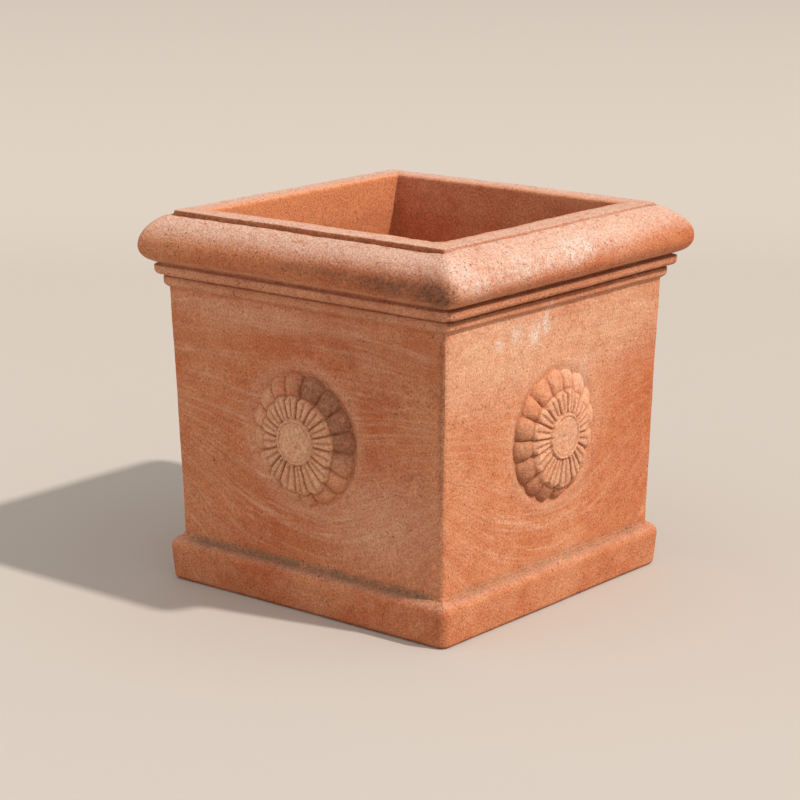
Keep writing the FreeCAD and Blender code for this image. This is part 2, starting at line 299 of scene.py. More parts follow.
def warped(points):
    """Points moved by the slow warp of drying, which leaves the foot flat."""
    offsets = [rough(points + np.array([place, 0, 0]), WARP_BREADTH) for place in WARP_PLACES]
    moved = points + sizes().warp * np.stack(offsets, axis=-1)
    foot = smoothstep(0, FLAT_FOOT, points[..., 2])
    moved[..., 2] = points[..., 2] + foot * (moved[..., 2] - points[..., 2])
    return moved


def from_rosette(along, height):
    """How far points of a side are from the middle of its rosette."""
    return np.hypot(along, height - ROSETTE_Z)


def stroke_lines(points, side):
    """Along and across the wiping strokes of a wall: they sag low on it and arch a little high on it."""
    along, _, height = on_side(points, side)
    sag = SAG * (1 - smoothstep(SAG_BELOW, ARCH_ABOVE, height)) - ARCH
    return np.stack([along, height - sag * along ** 2, np.zeros_like(along)], axis=-1)


def wiped(points, side):
    """Relief of a wall, outward in metres: wiping strokes, and what pressing the rosette moved."""
    stretched = stroke_lines(points, side) * np.array([1 / STROKE_STRETCH, 1, 1])
    strokes = sizes().stroke * rough(stretched + SIDES.index(side) * STROKE_SHIFT, STROKE_BREADTH, 2)
    along, out, height = on_side(points, side)
    far = from_rosette(along, height)
    up, down = (depth * bump_at(far, radius, spread) for depth, radius, spread in (PUSHED_UP, DRAWN_DOWN))
    return strokes + (up - down) * (out > wall_half(height) - FACE_DEPTH)


def from_lip(along, out):
    """How far points of a side are beyond the lip's outside, round its corners too."""
    core = sizes().mouth_width / 2 + sizes().lip_width - sizes().lip_corner
    return np.hypot(np.maximum(np.abs(along) - core, 0), np.maximum(out - core, 0)) - sizes().lip_corner


def filled(points, side):
    """Relief of the rim, outward in metres: clay smeared beside the lip, and the lip's ragged wear."""
    along, out, height = on_side(points, side)
    lip = sizes().mouth_width / 2 + sizes().lip_width
    turn = SIDES.index(side)
    before, after = LIP_FILL[SIDES[turn - 1]], LIP_FILL[SIDES[(turn + 1) % len(SIDES)]]
    near_corner = 0.5 * smoothstep(lip - FILL_TURN, lip, np.abs(along))
    depth = LIP_FILL[side] + near_corner * (np.where(along < 0, before, after) - LIP_FILL[side])
    reach = from_lip(along, out)
    beside = smoothstep(-0.6 * MM, 1.2 * MM, reach) * (height < TOP - FILL_FROM) * (height > TOP - FILL_TO)
    fill = depth * bump_at(reach, FILL_MIDDLE, FILL_SPREAD) * beside
    return fill + LIP_WEAR * rough(points, LIP_WEAR_BREADTH, 2) * (height > TOP - LIP_WEAR_REACH)


# Patches on the sides: side, place along it, height, spread along and spread up in millimetres, and
# strength. Salts come first, then grey-brown stains
SALT_BLOOMS = [
    ("right", -194, 393, 20, 15, 0.9), ("right", -176, 386, 28, 13, 0.9), ("right", -130, 389, 34, 13, 0.7),
    ("right", -96, 391, 38, 14, 0.9), ("right", -50, 392, 30, 12, 0.8), ("right", -14, 393, 30, 14, 1.0),
    ("right", 12, 396, 24, 13, 0.9), ("right", 60, 396, 60, 14, 0.4),
    ("right", -104, 307, 6, 6, 0.9), ("right", -74, 314, 11, 10, 0.8), ("right", -43, 309, 9, 13, 1.0),
    ("right", -24, 315, 8, 9, 1.0), ("right", -22, 328, 3.5, 14, 1.0), ("right", 48, 250, 14, 26, 0.35),
    ("right", 40, 262, 30, 12, 0.25), ("back", 60, 390, 70, 16, 0.7), ("left", -90, 392, 50, 13, 0.6),
]
STAINS = [
    ("front", 205, 380, 40, 17, 1.0), ("front", 150, 382, 60, 12, 0.85), ("front", 80, 385, 90, 9, 0.5),
    ("right", -221, 381, 13, 15, 0.75), ("front", 120, 285, 110, 60, 0.14),
    ("front", 190, 200, 7, 170, 0.6), ("front", 194, 46, 12, 12, 0.5),
    ("back", -180, 384, 50, 14, 0.8), ("left", 190, 150, 8, 110, 0.5),
]

# On the walls, in the same terms: drifts of pale slip, bare and redder clay, and strokes that stand out
DRIFTS = [
    ("right", -90, 300, 150, 60, 0.95), ("right", 100, 300, 120, 50, 0.75),
    ("front", 105, 120, 80, 60, 0.5), ("front", -60, 318, 140, 14, 0.5),
    ("back", 40, 280, 150, 70, 0.4), ("left", -60, 250, 120, 80, 0.35),
]
RUBBINGS = [
    ("front", -125, 120, 70, 90, 0.9), ("front", 0, 68, 190, 16, 0.7), ("right", 150, 190, 50, 90, 0.5),
    ("back", -100, 120, 90, 80, 0.7), ("left", 80, 110, 100, 70, 0.7),
]
SCRUBBINGS = [
    ("front", -95, 145, 85, 75, 1.4), ("front", 95, 245, 70, 60, 0.7), ("front", 60, 105, 90, 40, 0.8),
    ("right", 100, 290, 90, 45, 0.6), ("right", -40, 105, 120, 50, 0.8),
    ("back", -60, 130, 110, 60, 1.0), ("left", 50, 120, 120, 60, 1.0),
]

# What sets the groups of pieces apart: how open the clay's skin is, how far wiping strokes show, and how
# much there is of the bloom that rain leaves on slopes
POROUS = {"floor": 0.7, "wall": 0.35, "plinth": 0.55, "cornice": 0.7, "rim": 0.8, "rosette": 0.25}
STROKED = {"floor": 0.6, "wall": 1.0, "plinth": 0.5, "cornice": 0.3, "rim": 0.35, "rosette": 0.0}
BLOOM = {"floor": 0.5, "wall": 0.5, "plinth": 0.3, "cornice": 0.3, "rim": 1.0, "rosette": 0.0}

# What sets the sides apart: grime on the plinth, painted shade beside the lip where its step lies in shade
# and smeared clay there, painted shade in the quirks of the cornice where shadow falls, and painted light
# inside
GRIME = {"front": 1.0, "right": 0.65, "back": 0.8, "left": 0.7}
LIP_SHADE = {"front": 1.0, "right": 0.25, "back": 0.6, "left": 0.8}
LIP_FILL = {"front": 0.0, "right": 3.2 * MM, "back": 1.0 * MM, "left": 0.5 * MM}
QUIRK_SHADE = {"front": 0.2, "right": 1.0, "back": 0.6, "left": 0.5}
INSIDE_LIGHT = {"front": 0.5, "right": 0.5, "back": 0.0, "left": 1.0}

# How each rosette was pressed: turn of the side that sank into the wall, and how far it sank in millimetres
PRESSINGS = {"front": (195, 4.2), "right": (32, 4.2), "back": (120, 4.0), "left": (300, 5.0)}

# Dark on the outer petals: stain, and on the right rosette also painted shade where they face away from the
# light;
# the turn at which it is worst, and how strong it is there
PETAL_STAIN_AND_SHADE = {"front": (38, 0.72), "right": (215, 0.45), "back": (70, 0.5), "left": (60, 0.6)}


def patch_cover(patches, side, along, height):
    """How strongly patches cover points of a side."""
    cover = np.zeros(len(along))
    for where, middle, level, spread, rise, strength in patches:
        if where == side:
            far = ((along / MM - middle) / spread) ** 2 + ((height / MM - level) / rise) ** 2
            cover = np.maximum(cover, strength * np.exp(-far ** 1.5))
    return cover


def clay_marks(group, side, vertices, normals):
    """What the material reads at each point: stroke lines, open pores, what weather and wear left, and
    painted light and shade.
    """
    along, out, height = on_side(vertices, side)
    skin = sizes().mouth_width / 2 + 4 * MM if group == "rim" else wall_half(height) - 12 * MM
    outside = smoothstep(0, 6 * MM, out - skin)
    none = np.zeros(len(vertices))
    slope = smoothstep(0.25, 0.9, normals[:, 2])
    marks = {
        "strokes": stroke_lines(vertices, side),
        "stroked": none + STROKED[group],
        "porous": POROUS[group] * (0.3 + 0.7 * outside),
        "slope": BLOOM[group] * slope * (0.4 + 0.6 * outside),
        "salts": outside * patch_cover(SALT_BLOOMS, side, along, height),
        "stain_and_shade": outside * patch_cover(STAINS, side, along, height),
        # Painted light on the inside faces, by side
        "inside": INSIDE_LIGHT[side] * (1 - outside) * (group in ("wall", "rim")),
        "grime": none, "rubbed": none, "painted_shade": none, "pale": none,
    }
    if group in ("plinth", "wall"):
        ends = smoothstep(0, 50 * MM, PLINTH_HALF - np.abs(along))
        marks["grime"] = GRIME[side] * ends * outside * bump_at(height, PLINTH_TOP + 1 * MM, 4.5 * MM)
    if group == "wall":
        far = from_rosette(along, height)
        halo = 0.38 * bump_at(far, 77 * MM, 11 * MM)
        turn = np.arctan2(height - ROSETTE_Z, along)
        proud = np.clip(-np.cos(turn - math.radians(PRESSINGS[side][0])), 0, 1)
        edge = bump_at(far, ROSETTE_RADIUS - 0.5 * MM, 2.5 * MM)
        marks["rubbed"] = outside * patch_cover(RUBBINGS, side, along, height)
        # Painted shade in a thin ring at the rosette's edge on its proud side, where the petals' ends stand
        # off the wall
        marks["painted_shade"] = 0.75 * outside * proud * edge
        marks["stroked"] = STROKED[group] + outside * patch_cover(SCRUBBINGS, side, along, height)
        marks["pale"] = outside * np.maximum(halo, patch_cover(DRIFTS, side, along, height))
    if group == "cornice":
        # Painted shade in the quirks under the roll and under the upper fillet, where their shadows fall
        lower_quirk = bump_at(height, CORNICE_BASE + 11 * MM, 4.2 * MM)
        upper_quirk = bump_at(height, RIM_BASE, 4.5 * MM)
        marks["painted_shade"] = QUIRK_SHADE[side] * np.maximum(lower_quirk, upper_quirk)
        # Painted light: the fillets' faces made paler, lifting them where they stand in shade
        marks["pale"] = 0.4 * outside * (1 - marks["painted_shade"])
    if group == "rim":
        # Painted shade at the foot of the lip's outer step; where it is weak because the step is lit, a pale
        # film takes its place there, which is painted light
        beside_lip = bump_at(from_lip(along, out), 0, 2.4 * MM)
        below_top = smoothstep(TOP - 0.3 * MM, TOP - 1.5 * MM, height)
        marks["painted_shade"] = LIP_SHADE[side] * beside_lip * below_top
        marks["slope"] = np.maximum(marks["slope"], (1 - LIP_SHADE[side]) * beside_lip)
        marks["rubbed"] = outside * bump_at(height, RIM_BASE + 14 * MM, 11 * MM)
        marks["pale"] = 0.5 * outside * bump_at(height, RIM_BASE + 5.5 * MM, 2.5 * MM)
    return marks


def new_piece(name, vertices, faces, nodes, marks, normals=None):
    """A closed clay piece with its marks, riding on the planter in place of CAD nodes."""
    mesh = bpy.data.meshes.new(name)
    mesh.from_pydata(vertices.tolist(), [], faces)
    mesh.update()
    mesh.shade_smooth()
    if normals is not None:
        mesh.normals_split_custom_set_from_vertices(normals.tolist())
    for mark, values in marks.items():
        kind, field = ("FLOAT_VECTOR", "vector") if values.ndim == 2 else ("FLOAT", "value")
        attribute = mesh.attributes.new(mark, kind, "POINT")
        attribute.data.foreach_set(field, np.ascontiguousarray(values, dtype=np.float32).ravel())
    piece = bpy.data.objects.new(name, mesh)
    bpy.context.scene.collection.objects.link(piece)
    mesh.materials.append(terracotta())
    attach(piece, "root")
    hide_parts(*nodes)


def ring_faces(rows, columns):
    """Faces of one side of a ring: its skin and its two mitre ends."""
    index = np.arange(rows * columns).reshape(rows, columns)
    after = np.roll(index, -1, axis=0)
    skin = np.stack([index[:, :-1], index[:, 1:], after[:, 1:], after[:, :-1]], axis=-1).reshape(-1, 4)
    return skin.tolist() + [index[:, 0].tolist(), index[::-1, -1].tolist()]


def fired_ring(section, corners, pitch, relief):
    """Points and normals of a whole square ring after pressing, wiping and drying."""
    columns = side_columns(section[:, 0].max(), pitch)
    ring = []
    for turn, name in enumerate(SIDES):
        ends = corners[turn], corners[(turn + 1) % len(SIDES)]
        ring.append(turned(ring_side(section, ends, columns)[:, :-1], name))
    ring = np.concatenate(ring, axis=1)
    lift = pressed(ring)
    if relief:
        quarters = np.split(ring, len(SIDES), axis=1)
        lift += np.concatenate([relief(part, name) for part, name in zip(quarters, SIDES)], axis=1)
    lift *= smoothstep(0, FLAT_BED, ring[..., 2])
    shaped = warped(ring + grid_normals(ring) * lift[..., None])
    return shaped, grid_normals(shaped)


def build_sides(group, section, corners, relief=None):
    """The four mitred sides of a square ring, each a piece of its own with unbroken shading."""
    shaped, shaded = fired_ring(section, corners, sizes().pitch, relief)
    width = shaped.shape[1] // len(SIDES)
    for turn, side in enumerate(SIDES):
        picked = np.arange(turn * width, (turn + 1) * width + 1) % shaped.shape[1]
        vertices = shaped[:, picked].reshape(-1, 3)
        normals = shaded[:, picked].reshape(-1, 3)
        marks = clay_marks(group, side, vertices, normals)
        new_piece(f"{group}_{side}", vertices, ring_faces(len(section), width + 1),
                  [f"{side}_{group}"], marks, normals)


def wall_section():
    """Section of a wall slab from the floor to the bed of the rim."""
    low, high, thick = FLOOR_TOP, RIM_BASE, sizes().wall_thickness
    return [(wall_half(low) - thick, low), (wall_half(low), low),
            (wall_half(high), high), (wall_half(high) - thick, high)]


def plinth_section():
    """Section of the plinth: toe, battered face, rounded shoulder and a small cove against the wall."""
    size = sizes()
    shoulder = size.plinth_shoulder
    foot = PLINTH_HALF - size.plinth_batter
    back = wall_half(0) - BEDDING
    crown = arc((PLINTH_HALF - shoulder, PLINTH_TOP - shoulder), shoulder, 0, 88)
    cove = [(wall_half(PLINTH_TOP) + 0.5 * MM, PLINTH_TOP + 4 * MM),
            (wall_half(PLINTH_TOP) - BEDDING, PLINTH_TOP + 6 * MM)]
    return [(back, 0), (foot - size.plinth_toe, 0), (foot, size.plinth_toe)] + crown + cove


def cornice_section():
    """Section of the cornice: an upper fillet that stands well out and a lower one, a quirk over each."""
    head = wall_half(CORNICE_BASE)
    outer, inner = CORNICE_HALF + 2.2 * MM, CORNICE_HALF - 6.3 * MM
    step = CORNICE_BASE + 10 * MM
    seat = [(head - BEDDING, CORNICE_BASE - 3 * MM), (head + 0.6 * MM, CORNICE_BASE - 2 * MM)]
    lower_fillet = [(inner - 2.5 * MM, CORNICE_BASE), (inner - 0.3 * MM, CORNICE_BASE + 2.5 * MM),
                    (inner, step)]
    lower_quirk = [(inner - 2.5 * MM, step + 1 * MM), (inner - 1.5 * MM, step + 3.5 * MM)]
    upper_fillet = [(outer - 2 * MM, step + 3.5 * MM), (outer - 0.3 * MM, step + 6.5 * MM),
                    (outer, RIM_BASE - 3 * MM)]
    upper_quirk = [(outer - 5 * MM, RIM_BASE - 1.5 * MM), (outer - 5 * MM, RIM_BASE + 2 * MM)]
    hidden = [(head - BEDDING, RIM_BASE + 2 * MM)]
    return seat + lower_fillet + lower_quirk + upper_fillet + upper_quirk + hidden


def rim_section():
    """Section of the rim: inside face that runs into the wall, lip, slope, roll and underside."""
    size = sizes()
    mouth = size.mouth_width / 2
    lip = mouth + size.lip_width
    lip_foot = TOP - size.lip_height
    nose = RIM_BASE + size.roll_nose
    crown_start = lip - 4.5 * MM
    reach, rise, fullness = ROLL_HALF - crown_start, lip_foot + 0.6 * MM - nose, 1.85
    outs = np.linspace(1, (lip + 2 * MM - crown_start) / reach, 30)
    crown = [(crown_start + reach * out, nose + rise * (1 - out ** fullness) ** (1 / fullness))
             for out in outs]
    under = arc((ROLL_HALF - size.roll_under, nose), size.roll_under, -68, 0)
    quirk = [(lip + 0.8 * MM, lip_foot - 1.8 * MM), (lip - 0.4 * MM, lip_foot - 1.8 * MM)]
    arris = arc((mouth + size.lip_arris, TOP - size.lip_arris), size.lip_arris, 90, 180)
    tail = RIM_BASE - 36 * MM
    wall_inside = wall_half(tail) - size.wall_thickness
    hidden = [(wall_inside + 2 * MM, tail), (wall_inside + 10 * MM, tail),
              (wall_inside + 12 * MM, RIM_BASE), (CORNICE_HALF - 1 * MM, RIM_BASE)]
    lip_edge, inside = [(lip - 1.5 * MM, TOP)], [(mouth + 0.6 * MM, RIM_BASE + 14 * MM)]
    return hidden + under + crown[1:] + quirk + lip_edge + arris + inside


def floor_section():
    """Section of the floor slab from the drain hole out to the foot of the walls."""
    hole = sizes().drain_width / 2
    ease = 0.5 * MM
    low, high = wall_half(0) - ease, wall_half(FLOOR_TOP) - ease
    return [(hole, 0), (low, 0), (high, FLOOR_TOP), (hole, FLOOR_TOP)]


def build_floor():
    """The floor slab with its drain hole, in one piece."""
    size = sizes()
    section = soften(floor_section(), size.wear, FLOOR_PITCH)
    hole = size.drain_width / 2
    corner = np.interp(section[:, 0], [hole, 3 * hole, wall_half(0)], [hole, 1.5 * hole, size.wall_corner])
    corner = np.minimum(corner, section[:, 0])
    shaped, shaded = fired_ring(section, [corner] * len(SIDES), FLOOR_PITCH, None)
    vertices = shaped.reshape(-1, 3)
    normals = shaded.reshape(-1, 3)
    rows, columns = shaped.shape[:2]
    index = np.arange(rows * columns).reshape(rows, columns)
    right, up = np.roll(index, -1, axis=1), np.roll(index, -1, axis=0)
    faces = np.stack([index, right, np.roll(up, -1, axis=1), up], axis=-1).reshape(-1, 4).tolist()
    marks = clay_marks("floor", "front", vertices, normals)
    new_piece("floor", vertices, faces, ["floor_slab"], marks, normals)


# Rosette, in millimetres: a disc with a dimple, a groove and a border; inner petals with a channel each,
# longer low on the rosette; round outer petals that bend down to lobed ends; and the depth of its back
PETALS = 16
PETAL_COLUMNS = 18
PETAL_START_TURN = 6.7
DISC_HEIGHT, DISC_DIMPLE = 16.0, 0.9
DISC_RADIUS, DISC_GROOVE = 21.4, 0.7
BORDER_RADIUS, BORDER_HEIGHT = 23.5, 1.0
INNER_START, INNER_TIP = 25.2, 50.0
INNER_HEIGHT, INNER_FALL = 15.4, 2.0
INNER_SEAM, INNER_CHANNEL, INNER_MOAT = 2.9, 1.6, 1.1
INNER_ROUND = 3.4
LOWER_PETALS_LONGER = 8.0
OUTER_HEIGHT, OUTER_FALL, OUTER_RUN = 10.6, 1.2, 19
OUTER_SIDES, OUTER_SEAM, OUTER_DENT = 4.4, 1.5, 0.7
OUTER_BEND = 58.0
LOBE_DEPTH = 4.6
BURIED = -4.0

# Shares of a rosette's radius at its rows, closer together towards the petals' ends
ROSETTE_ROWS = np.concatenate([np.linspace(0.016, 0.86, 54, endpoint=False), np.linspace(0.86, 1, 14)])


def petal_relief(r, across, tip, end):
    """Height in millimetres of a rosette at radius r, across a petal from -1 to 1, and the painted shade in
    its seams and grooves.
    """
    half_width = np.maximum(r, 1) * math.pi / PETALS
    seam = bump_at((1 - np.abs(across)) * half_width, 0, 1.2)
    disc_groove = bump_at(r, DISC_RADIUS, 0.9)
    border = bump_at(r, BORDER_RADIUS, 1.0)
    moat = bump_at(r, INNER_START + 0.8, 1.1)
    dimple = bump_at(r, 0, 2.0)
    disc = DISC_HEIGHT - DISC_GROOVE * disc_groove + BORDER_HEIGHT * border - DISC_DIMPLE * dimple
    channel = bump_at(across * half_width, 0, 1.3) * smoothstep(26, 29, r)
    channel = channel * (1 - smoothstep(tip - 2, tip + 1, r))
    inner = INNER_HEIGHT - INNER_FALL * (r - INNER_START) / (tip - INNER_START)
    inner = inner - INNER_SEAM * seam - INNER_CHANNEL * channel - INNER_MOAT * moat
    outer = OUTER_HEIGHT - OUTER_FALL * (r - tip) / OUTER_RUN
    outer = outer - OUTER_SIDES * np.abs(across) ** 2.4 - OUTER_SEAM * seam
    outer = outer - OUTER_DENT * bump_at(across, 0, 0.35) * bump_at(r, 60, 5)
    bend = np.clip((r - OUTER_BEND) / (end - OUTER_BEND), 0, 1)
    outer = outer * np.sqrt(1 - bend ** 2.2)
    edge = tip - INNER_ROUND * across ** 2
    to_inner = smoothstep(INNER_START - 0.9, INNER_START + 0.5, r)
    to_outer = smoothstep(edge - 2.4, edge + 1.2, r)
    height = disc + to_inner * (inner - disc)
    height = height + to_outer * (outer - height)
    # Painted shade in the seams, channels, grooves and moat, and just past the inner petals' tips
    inner_painted_shade = to_inner * (1 - to_outer) * np.maximum(0.8 * seam, 0.5 * channel)
    outer_painted_shade = to_outer * np.maximum(0.7 * seam, 0.6 * bump_at(r, edge + 1.6, 1.3))
    disc_painted_shade = np.maximum(0.3 * disc_groove, 0.4 * moat)
    return height, np.maximum(disc_painted_shade, np.maximum(inner_painted_shade, outer_painted_shade))


def build_rosette(side, seed):
    """One pressed rosette on the middle of a wall."""
    draw = np.random.default_rng(seed)
    radius = ROSETTE_RADIUS / MM
    columns = PETALS * PETAL_COLUMNS
    petal = np.arange(columns) * PETALS / columns
    number = np.floor(petal).astype(int)
    across = 2 * (petal - number) - 1

    # Each petal's own seams, tip and end
    seams = np.arange(PETALS + 1) - 0.5 + draw.uniform(-0.11, 0.11, PETALS + 1)
    seams[-1] = seams[0] + PETALS
    turn = math.radians(PETAL_START_TURN) + 2 * math.pi / PETALS * (
        seams[number] + (petal - number) * (seams[number + 1] - seams[number]))
    tip = (INNER_TIP + draw.uniform(-2, 2, PETALS))[number]
    tip = tip + LOWER_PETALS_LONGER * smoothstep(0.3, 0.95, -np.sin(turn))
    end = radius - LOBE_DEPTH * across ** 2 + draw.uniform(-1.6, 0.3, PETALS)[number] * (1 - across ** 2)
    share_out = ROSETTE_ROWS[:, None]
    r = share_out * (radius + (end - radius) * smoothstep(0.5, 1, share_out))
    height, painted_shade = petal_relief(r, across[None, :], tip[None, :], end[None, :])

    # The side that sank, petals pressed more or less deep, a dark stain on the outer petals that is partly
    # painted shade on the right rosette, painted shade in the seams, and paler ridges
    sunk_turn, sunk = PRESSINGS[side]
    darkest_turn, grime = PETAL_STAIN_AND_SHADE[side]
    toward = np.cos(turn - math.radians(sunk_turn))
    fade = np.clip(toward, 0, 1)[None, :] ** 0.8 * smoothstep(30, 66, r)
    height = height - sunk * fade
    height += draw.uniform(-0.8, 0.8, PETALS)[number] * smoothstep(50, 57, r) * (1 - share_out ** 8)
    outer = smoothstep(-1, 2, r - tip)
    stain_and_shade = grime * outer * smoothstep(0.3, 0.85, np.cos(turn - math.radians(darkest_turn)))[None, :]
    pale = (1 - painted_shade) * (0.9 - 0.6 * outer * (1 - fade))

    flat = np.stack([r * np.cos(turn), r * np.sin(turn), height], axis=-1)
    back = np.stack([r[-1] * np.cos(turn), r[-1] * np.sin(turn), np.full(columns, BURIED)], axis=-1)
    middle = [[0, 0, DISC_HEIGHT - DISC_DIMPLE]]
    vertices = on_wall(np.vstack([flat.reshape(-1, 3), back, middle]) * MM, side)
    marks = clay_marks("rosette", side, vertices, np.zeros_like(vertices))
    for mark, values in (("painted_shade", painted_shade * (1 - 0.15 * fade)), ("stain_and_shade", stain_and_shade), ("pale", pale)):
        marks[mark] = np.concatenate([values.ravel(), values[-1], [0.0]])
    new_piece(f"rosette_{side}", vertices, disc_faces(len(r) + 1, columns), [f"{side}_rosette"], marks)


def on_wall(flat, side):
    """Points given along, up and out from a rosette's middle, put on that side's uneven wall."""
    slant = math.hypot(1, WALL_LEAN)
    base = np.stack([flat[:, 0], -wall_half(ROSETTE_Z) - flat[:, 1] * WALL_LEAN / slant,
                     ROSETTE_Z + flat[:, 1] / slant], axis=1)
    outward = turned(np.array([0, -1, -WALL_LEAN]) / slant, side)
    base = turned(base, side)
    lift = pressed(base) + wiped(base, side) + flat[:, 2]
    lift += 0.35 * MM * rough(base, 7 * MM, 2) * (flat[:, 2] > 0)
    return warped(base + outward * lift[:, None])


def disc_faces(rows, columns):
    """Faces of a closed disc: rows from the middle out, a fan at the middle and a flat back."""
    index = np.arange(rows * columns).reshape(rows, columns)
    after = np.roll(index, -1, axis=1)
    skin = np.stack([index[:-1], index[1:], after[1:], after[:-1]], axis=-1).reshape(-1, 4).tolist()
    middle = rows * columns
    fan = [[middle, int(a), int(b)] for a, b in zip(index[0], after[0])]
    return skin + fan + [index[-1, ::-1].tolist()]


# Sockets of a colour mix by number, because its names repeat
MIX_A, MIX_B, MIXED = 6, 7, 2


def add(tree, kind, output, links=(), **settings):
    """Add a node with its settings and links, and give one of its outputs.

    links are pairs of an input and a value or another node's output.
    """
    node = tree.nodes.new(kind)
    for name, value in settings.items():
        setattr(node, name, value)
    for socket, source in links:
        if isinstance(source, bpy.types.NodeSocket):
            tree.links.new(source, node.inputs[socket])
        else:
            node.inputs[socket].default_value = source
    return node.outputs[output]


def terracotta():
    """The one clay material, made when first asked for."""
    return bpy.data.materials.get(CLAY) or make_terracotta()


def make_terracotta():
    """Hand-pressed terracotta: coarse clay with grit, wiped by hand and fired matt.

    The eye sees orange clay clouded with red, pale sweeps where the wet slip was wiped, coarse grit, open
    pores, a pale bloom on slopes that rain reaches and pale worn ridges; painted shade darkens grooves,
    quirks and seams, and painted light brightens the inner face that the sun reaches and the fillets of the
    cornice.
    """
    colours = bpy.context.scene.planter_colours
    material = bpy.data.materials.new(CLAY)
    material.use_nodes = True
    tree = material.node_tree
    shader = tree.nodes["Principled BSDF"]
    shader.inputs["Roughness"].default_value = 0.92
    shader.inputs["IOR"].default_value = 1.45
    shader.inputs["Specular IOR Level"].default_value = 0.25
    place = add(tree, "ShaderNodeTexCoord", "Object")
    strokes = add(tree, "ShaderNodeAttribute", "Vector", attribute_name="strokes")
    stroked = add(tree, "ShaderNodeAttribute", "Fac", attribute_name="stroked")
    porous = add(tree, "ShaderNodeAttribute", "Fac", attribute_name="porous")

    # Clouds of redder clay, about a hand's breadth across, broken by mottling the size of a thumb
    clouds = []
    for breadth, detail in ((110 * MM, 3.0), (17 * MM, 4.0)):
        clouds.append(add(tree, "ShaderNodeTexNoise", "Fac", [
            ("Vector", place), ("Scale", 1 / breadth), ("Detail", detail), ("Roughness", 0.62)]))
    cloud = add(tree, "ShaderNodeMath", 0, [
        (0, clouds[1]), (1, 0.6), (2, clouds[0])], operation="MULTIPLY_ADD")
    cloud = add(tree, "ShaderNodeMapRange", 0, [("Value", cloud), ("From Min", 0.62), ("From Max", 0.98)])
    colour = add(tree, "ShaderNodeMix", MIXED, [
        ("Factor", cloud), (MIX_A, colours.clay_deep), (MIX_B, colours.clay)], data_type="RGBA")

    # Wiping strokes: long, bent, and a few millimetres apart, in a fine and a broad set that come and go
    sway = add(tree, "ShaderNodeTexNoise", "Color", [
        ("Vector", place), ("Scale", 1 / (80 * MM)), ("Detail", 2.0)])
    bent = add(tree, "ShaderNodeVectorMath", 0, [
        (0, sway), (1, (0, 14 * MM, 0)), (2, strokes)], operation="MULTIPLY_ADD")
    streaks = []
    for breadth, reach in ((4.5 * MM, 65 * MM), (15 * MM, 150 * MM)):
        drawn = add(tree, "ShaderNodeVectorMath", 0, [
            (0, bent), (1, (1 / reach, 1 / breadth, 0))], operation="MULTIPLY")
        streaks.append(add(tree, "ShaderNodeTexNoise", "Fac", [
            ("Vector", drawn), ("Scale", 1.0), ("Detail", 3.0), ("Roughness", 0.55)]))
    streak = add(tree, "ShaderNodeMath", 0, [(0, streaks[0]), (1, streaks[1])], operation="ADD")
    for low, high, most, film in ((1.0, 1.4, 0.34, colours.slip), (1.0, 0.65, 0.26, colours.clay_deep)):
        sweep = add(tree, "ShaderNodeMapRange", 0, [
            ("Value", streak), ("From Min", low), ("From Max", high), ("To Max", most)])
        sweep = add(tree, "ShaderNodeMath", 0, [(0, sweep), (1, stroked)], operation="MULTIPLY")
        colour = add(tree, "ShaderNodeMix", MIXED, [
            ("Factor", sweep), (MIX_A, colour), (MIX_B, film)], data_type="RGBA")

    # Films, stains, painted light and painted shade: mark on the mesh, colour, size of the patches that
    # break it up, the span over which a patch comes up, and strength
    films = [
        # Painted light, brightest on the inner face that the sun reaches
        ("inside", colours.inside_light, 30 * MM, 0.1, 0.5, 0.9),
        ("slope", colours.film, 11 * MM, 0.2, 0.5, 0.9),
        ("rubbed", colours.rubbed, 12 * MM, 0.35, 0.65, 0.7),
        ("pale", colours.slip, 16 * MM, 0.05, 0.6, 0.85),
        ("grime", colours.grime, 22 * MM, 0.1, 0.55, 0.9),
        # Stain, and on some rosette petals painted shade
        ("stain_and_shade", colours.soot, 5 * MM, 0.15, 0.6, 0.9),
        ("salts", colours.salts, 6 * MM, 0.28, 0.62, 0.85),
        # Painted shade in grooves, quirks, seams and beside the lip
        ("painted_shade", colours.painted_shade_tone, 7 * MM, 0.1, 0.55, 0.85),
    ]
    for mark, film, patch, low, high, strength in films:
        cover = add(tree, "ShaderNodeAttribute", "Fac", attribute_name=mark)
        patches = add(tree, "ShaderNodeTexNoise", "Fac", [
            ("Vector", place), ("Scale", 1 / patch), ("Detail", 5.0), ("Roughness", 0.68)])
        broken = add(tree, "ShaderNodeMapRange", 0, [
            ("Value", patches), ("From Min", low), ("From Max", high), ("To Max", strength)])
        spread = add(tree, "ShaderNodeMath", 0, [(0, broken), (1, cover)], operation="MULTIPLY")
        colour = add(tree, "ShaderNodeMix", MIXED, [
            ("Factor", spread), (MIX_A, colour), (MIX_B, film)], data_type="RGBA")

    # Grit of crushed brick, drawn a little coarser than the real grains so that it shows
    grit = add(tree, "ShaderNodeTexNoise", "Fac", [
        ("Vector", place), ("Scale", 1 / (2.3 * MM)), ("Detail", 2.0), ("Roughness", 0.65)])
    shade = add(tree, "ShaderNodeMapRange", 0, [
        ("Value", grit), ("From Min", 0.28), ("From Max", 0.72), ("To Min", 0.66), ("To Max", 1.28)])
    colour = add(tree, "ShaderNodeVectorMath", 0, [(0, colour), ("Scale", shade)], operation="SCALE")

